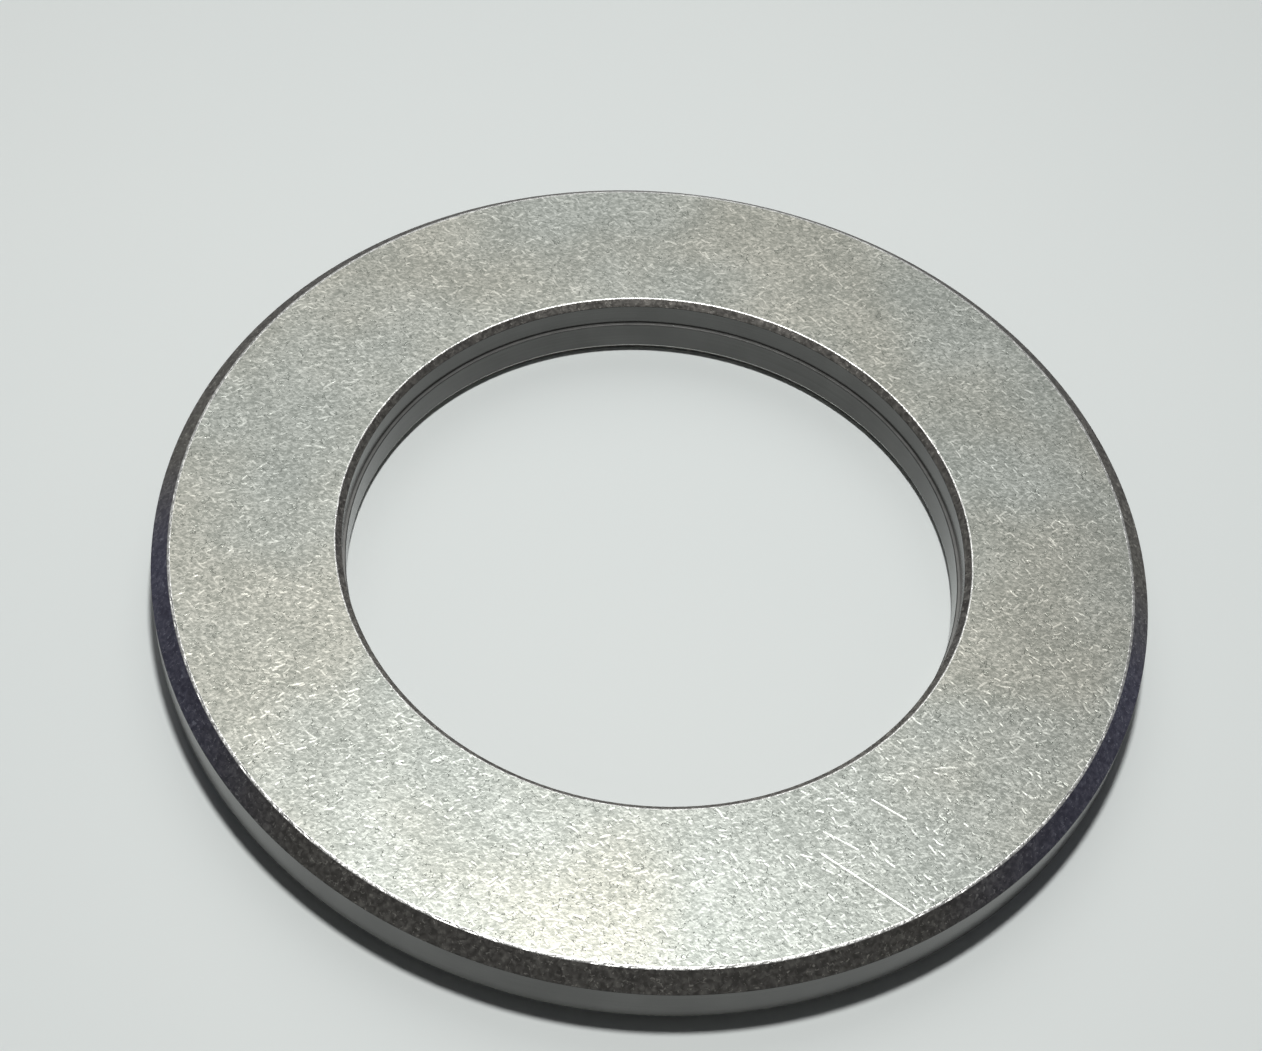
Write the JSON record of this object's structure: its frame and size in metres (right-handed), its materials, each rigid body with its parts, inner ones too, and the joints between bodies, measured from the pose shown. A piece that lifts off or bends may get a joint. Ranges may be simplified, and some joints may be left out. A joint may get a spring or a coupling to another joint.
{
  "type": "thrust ball bearing",
  "caption": "Low-section thrust ball bearing: flat housing washer with a skirt over a shaft washer, and a caged row of balls between them.",
  "frame": {"origin": "centre of the bore in the plane of the shaft washer's flat face, which the bearing stands on", "axes": "+Z along the bearing's axis from the shaft washer to the housing washer; +X through the centre of ball 1"},
  "size_m": [0.105, 0.105, 0.0077],
  "materials": {
    "housing_washer_steel": "tumbled hardened bearing steel face, ground outside wall and bore, dark turned chamfers",
    "shaft_washer_steel": "tumbled hardened bearing steel face, ground bore, honed raceway",
    "cage_brass": "machined brass with fine turning marks",
    "ball_steel": "polished hardened bearing steel"
  },
  "bodies": {
    "shaft_washer": {"shaft_washer": "shaft_washer_steel"},
    "housing_washer": {"housing_washer": "housing_washer_steel"},
    "cage": {"ball_cage": "cage_brass"},
    "ball_01": {"ball_01": "ball_steel"},
    "ball_02": {"ball_02": "ball_steel"},
    "ball_03": {"ball_03": "ball_steel"},
    "ball_04": {"ball_04": "ball_steel"},
    "ball_05": {"ball_05": "ball_steel"},
    "ball_06": {"ball_06": "ball_steel"},
    "ball_07": {"ball_07": "ball_steel"},
    "ball_08": {"ball_08": "ball_steel"},
    "ball_09": {"ball_09": "ball_steel"},
    "ball_10": {"ball_10": "ball_steel"},
    "ball_11": {"ball_11": "ball_steel"},
    "ball_12": {"ball_12": "ball_steel"},
    "ball_13": {"ball_13": "ball_steel"},
    "ball_14": {"ball_14": "ball_steel"},
    "ball_15": {"ball_15": "ball_steel"},
    "ball_16": {"ball_16": "ball_steel"},
    "ball_17": {"ball_17": "ball_steel"},
    "ball_18": {"ball_18": "ball_steel"},
    "ball_19": {"ball_19": "ball_steel"},
    "ball_20": {"ball_20": "ball_steel"},
    "ball_21": {"ball_21": "ball_steel"},
    "ball_22": {"ball_22": "ball_steel"},
    "ball_23": {"ball_23": "ball_steel"},
    "ball_24": {"ball_24": "ball_steel"},
    "ball_25": {"ball_25": "ball_steel"},
    "ball_26": {"ball_26": "ball_steel"},
    "ball_27": {"ball_27": "ball_steel"},
    "ball_28": {"ball_28": "ball_steel"},
    "ball_29": {"ball_29": "ball_steel"},
    "ball_30": {"ball_30": "ball_steel"},
    "ball_31": {"ball_31": "ball_steel"},
    "ball_32": {"ball_32": "ball_steel"},
    "ball_33": {"ball_33": "ball_steel"},
    "ball_34": {"ball_34": "ball_steel"},
    "ball_35": {"ball_35": "ball_steel"},
    "ball_36": {"ball_36": "ball_steel"}
  },
  "joints": [
    {"name": "housing_spin", "type": "hinge", "parent": "shaft_washer", "child": "housing_washer", "pos_m": [0, 0, 0.00775], "axis": [0, 0, 1], "continuous": true},
    {"name": "cage_orbit", "type": "hinge", "parent": "shaft_washer", "child": "cage", "pos_m": [0, 0, 0.00387], "axis": [0, 0, 1], "continuous": true},
    {"name": "ball_01_roll", "type": "hinge", "parent": "cage", "child": "ball_01", "pos_m": [0.0425, 0, 0.00387], "axis": [1, 0, 0], "continuous": true},
    {"name": "ball_02_roll", "type": "hinge", "parent": "cage", "child": "ball_02", "pos_m": [0.04185, 0.00738, 0.00387], "axis": [0.9848, 0.1736, 0], "continuous": true},
    {"name": "ball_03_roll", "type": "hinge", "parent": "cage", "child": "ball_03", "pos_m": [0.03994, 0.01454, 0.00387], "axis": [0.9397, 0.342, 0], "continuous": true},
    {"name": "ball_04_roll", "type": "hinge", "parent": "cage", "child": "ball_04", "pos_m": [0.03681, 0.02125, 0.00387], "axis": [0.866, 0.5, 0], "continuous": true},
    {"name": "ball_05_roll", "type": "hinge", "parent": "cage", "child": "ball_05", "pos_m": [0.03256, 0.02732, 0.00387], "axis": [0.766, 0.6428, 0], "continuous": true},
    {"name": "ball_06_roll", "type": "hinge", "parent": "cage", "child": "ball_06", "pos_m": [0.02732, 0.03256, 0.00387], "axis": [0.6428, 0.766, 0], "continuous": true},
    {"name": "ball_07_roll", "type": "hinge", "parent": "cage", "child": "ball_07", "pos_m": [0.02125, 0.03681, 0.00387], "axis": [0.5, 0.866, 0], "continuous": true},
    {"name": "ball_08_roll", "type": "hinge", "parent": "cage", "child": "ball_08", "pos_m": [0.01454, 0.03994, 0.00387], "axis": [0.342, 0.9397, 0], "continuous": true},
    {"name": "ball_09_roll", "type": "hinge", "parent": "cage", "child": "ball_09", "pos_m": [0.00738, 0.04185, 0.00387], "axis": [0.1736, 0.9848, 0], "continuous": true},
    {"name": "ball_10_roll", "type": "hinge", "parent": "cage", "child": "ball_10", "pos_m": [0, 0.0425, 0.00387], "axis": [0, 1, 0], "continuous": true},
    {"name": "ball_11_roll", "type": "hinge", "parent": "cage", "child": "ball_11", "pos_m": [-0.00738, 0.04185, 0.00387], "axis": [-0.1736, 0.9848, 0], "continuous": true},
    {"name": "ball_12_roll", "type": "hinge", "parent": "cage", "child": "ball_12", "pos_m": [-0.01454, 0.03994, 0.00387], "axis": [-0.342, 0.9397, 0], "continuous": true},
    {"name": "ball_13_roll", "type": "hinge", "parent": "cage", "child": "ball_13", "pos_m": [-0.02125, 0.03681, 0.00387], "axis": [-0.5, 0.866, 0], "continuous": true},
    {"name": "ball_14_roll", "type": "hinge", "parent": "cage", "child": "ball_14", "pos_m": [-0.02732, 0.03256, 0.00387], "axis": [-0.6428, 0.766, 0], "continuous": true},
    {"name": "ball_15_roll", "type": "hinge", "parent": "cage", "child": "ball_15", "pos_m": [-0.03256, 0.02732, 0.00387], "axis": [-0.766, 0.6428, 0], "continuous": true},
    {"name": "ball_16_roll", "type": "hinge", "parent": "cage", "child": "ball_16", "pos_m": [-0.03681, 0.02125, 0.00387], "axis": [-0.866, 0.5, 0], "continuous": true},
    {"name": "ball_17_roll", "type": "hinge", "parent": "cage", "child": "ball_17", "pos_m": [-0.03994, 0.01454, 0.00387], "axis": [-0.9397, 0.342, 0], "continuous": true},
    {"name": "ball_18_roll", "type": "hinge", "parent": "cage", "child": "ball_18", "pos_m": [-0.04185, 0.00738, 0.00387], "axis": [-0.9848, 0.1736, 0], "continuous": true},
    {"name": "ball_19_roll", "type": "hinge", "parent": "cage", "child": "ball_19", "pos_m": [-0.0425, 0, 0.00387], "axis": [-1, 0, 0], "continuous": true},
    {"name": "ball_20_roll", "type": "hinge", "parent": "cage", "child": "ball_20", "pos_m": [-0.04185, -0.00738, 0.00387], "axis": [-0.9848, -0.1736, 0], "continuous": true},
    {"name": "ball_21_roll", "type": "hinge", "parent": "cage", "child": "ball_21", "pos_m": [-0.03994, -0.01454, 0.00387], "axis": [-0.9397, -0.342, 0], "continuous": true},
    {"name": "ball_22_roll", "type": "hinge", "parent": "cage", "child": "ball_22", "pos_m": [-0.03681, -0.02125, 0.00387], "axis": [-0.866, -0.5, 0], "continuous": true},
    {"name": "ball_23_roll", "type": "hinge", "parent": "cage", "child": "ball_23", "pos_m": [-0.03256, -0.02732, 0.00387], "axis": [-0.766, -0.6428, 0], "continuous": true},
    {"name": "ball_24_roll", "type": "hinge", "parent": "cage", "child": "ball_24", "pos_m": [-0.02732, -0.03256, 0.00387], "axis": [-0.6428, -0.766, 0], "continuous": true},
    {"name": "ball_25_roll", "type": "hinge", "parent": "cage", "child": "ball_25", "pos_m": [-0.02125, -0.03681, 0.00387], "axis": [-0.5, -0.866, 0], "continuous": true},
    {"name": "ball_26_roll", "type": "hinge", "parent": "cage", "child": "ball_26", "pos_m": [-0.01454, -0.03994, 0.00387], "axis": [-0.342, -0.9397, 0], "continuous": true},
    {"name": "ball_27_roll", "type": "hinge", "parent": "cage", "child": "ball_27", "pos_m": [-0.00738, -0.04185, 0.00387], "axis": [-0.1736, -0.9848, 0], "continuous": true},
    {"name": "ball_28_roll", "type": "hinge", "parent": "cage", "child": "ball_28", "pos_m": [0, -0.0425, 0.00387], "axis": [0, -1, 0], "continuous": true},
    {"name": "ball_29_roll", "type": "hinge", "parent": "cage", "child": "ball_29", "pos_m": [0.00738, -0.04185, 0.00387], "axis": [0.1736, -0.9848, 0], "continuous": true},
    {"name": "ball_30_roll", "type": "hinge", "parent": "cage", "child": "ball_30", "pos_m": [0.01454, -0.03994, 0.00387], "axis": [0.342, -0.9397, 0], "continuous": true},
    {"name": "ball_31_roll", "type": "hinge", "parent": "cage", "child": "ball_31", "pos_m": [0.02125, -0.03681, 0.00387], "axis": [0.5, -0.866, 0], "continuous": true},
    {"name": "ball_32_roll", "type": "hinge", "parent": "cage", "child": "ball_32", "pos_m": [0.02732, -0.03256, 0.00387], "axis": [0.6428, -0.766, 0], "continuous": true},
    {"name": "ball_33_roll", "type": "hinge", "parent": "cage", "child": "ball_33", "pos_m": [0.03256, -0.02732, 0.00387], "axis": [0.766, -0.6428, 0], "continuous": true},
    {"name": "ball_34_roll", "type": "hinge", "parent": "cage", "child": "ball_34", "pos_m": [0.03681, -0.02125, 0.00387], "axis": [0.866, -0.5, 0], "continuous": true},
    {"name": "ball_35_roll", "type": "hinge", "parent": "cage", "child": "ball_35", "pos_m": [0.03994, -0.01454, 0.00387], "axis": [0.9397, -0.342, 0], "continuous": true},
    {"name": "ball_36_roll", "type": "hinge", "parent": "cage", "child": "ball_36", "pos_m": [0.04185, -0.00738, 0.00387], "axis": [0.9848, -0.1736, 0], "continuous": true}
  ],
  "couplings": [
    {"joint": "cage_orbit", "follows": "housing_spin", "ratio": 0.5},
    {"joint": "ball_01_roll", "follows": "housing_spin", "ratio": -8.9248},
    {"joint": "ball_02_roll", "follows": "housing_spin", "ratio": -8.9248},
    {"joint": "ball_03_roll", "follows": "housing_spin", "ratio": -8.9248},
    {"joint": "ball_04_roll", "follows": "housing_spin", "ratio": -8.9248},
    {"joint": "ball_05_roll", "follows": "housing_spin", "ratio": -8.9248},
    {"joint": "ball_06_roll", "follows": "housing_spin", "ratio": -8.9248},
    {"joint": "ball_07_roll", "follows": "housing_spin", "ratio": -8.9248},
    {"joint": "ball_08_roll", "follows": "housing_spin", "ratio": -8.9248},
    {"joint": "ball_09_roll", "follows": "housing_spin", "ratio": -8.9248},
    {"joint": "ball_10_roll", "follows": "housing_spin", "ratio": -8.9248},
    {"joint": "ball_11_roll", "follows": "housing_spin", "ratio": -8.9248},
    {"joint": "ball_12_roll", "follows": "housing_spin", "ratio": -8.9248},
    {"joint": "ball_13_roll", "follows": "housing_spin", "ratio": -8.9248},
    {"joint": "ball_14_roll", "follows": "housing_spin", "ratio": -8.9248},
    {"joint": "ball_15_roll", "follows": "housing_spin", "ratio": -8.9248},
    {"joint": "ball_16_roll", "follows": "housing_spin", "ratio": -8.9248},
    {"joint": "ball_17_roll", "follows": "housing_spin", "ratio": -8.9248},
    {"joint": "ball_18_roll", "follows": "housing_spin", "ratio": -8.9248},
    {"joint": "ball_19_roll", "follows": "housing_spin", "ratio": -8.9248},
    {"joint": "ball_20_roll", "follows": "housing_spin", "ratio": -8.9248},
    {"joint": "ball_21_roll", "follows": "housing_spin", "ratio": -8.9248},
    {"joint": "ball_22_roll", "follows": "housing_spin", "ratio": -8.9248},
    {"joint": "ball_23_roll", "follows": "housing_spin", "ratio": -8.9248},
    {"joint": "ball_24_roll", "follows": "housing_spin", "ratio": -8.9248},
    {"joint": "ball_25_roll", "follows": "housing_spin", "ratio": -8.9248},
    {"joint": "ball_26_roll", "follows": "housing_spin", "ratio": -8.9248},
    {"joint": "ball_27_roll", "follows": "housing_spin", "ratio": -8.9248},
    {"joint": "ball_28_roll", "follows": "housing_spin", "ratio": -8.9248},
    {"joint": "ball_29_roll", "follows": "housing_spin", "ratio": -8.9248},
    {"joint": "ball_30_roll", "follows": "housing_spin", "ratio": -8.9248},
    {"joint": "ball_31_roll", "follows": "housing_spin", "ratio": -8.9248},
    {"joint": "ball_32_roll", "follows": "housing_spin", "ratio": -8.9248},
    {"joint": "ball_33_roll", "follows": "housing_spin", "ratio": -8.9248},
    {"joint": "ball_34_roll", "follows": "housing_spin", "ratio": -8.9248},
    {"joint": "ball_35_roll", "follows": "housing_spin", "ratio": -8.9248},
    {"joint": "ball_36_roll", "follows": "housing_spin", "ratio": -8.9248}
  ]
}
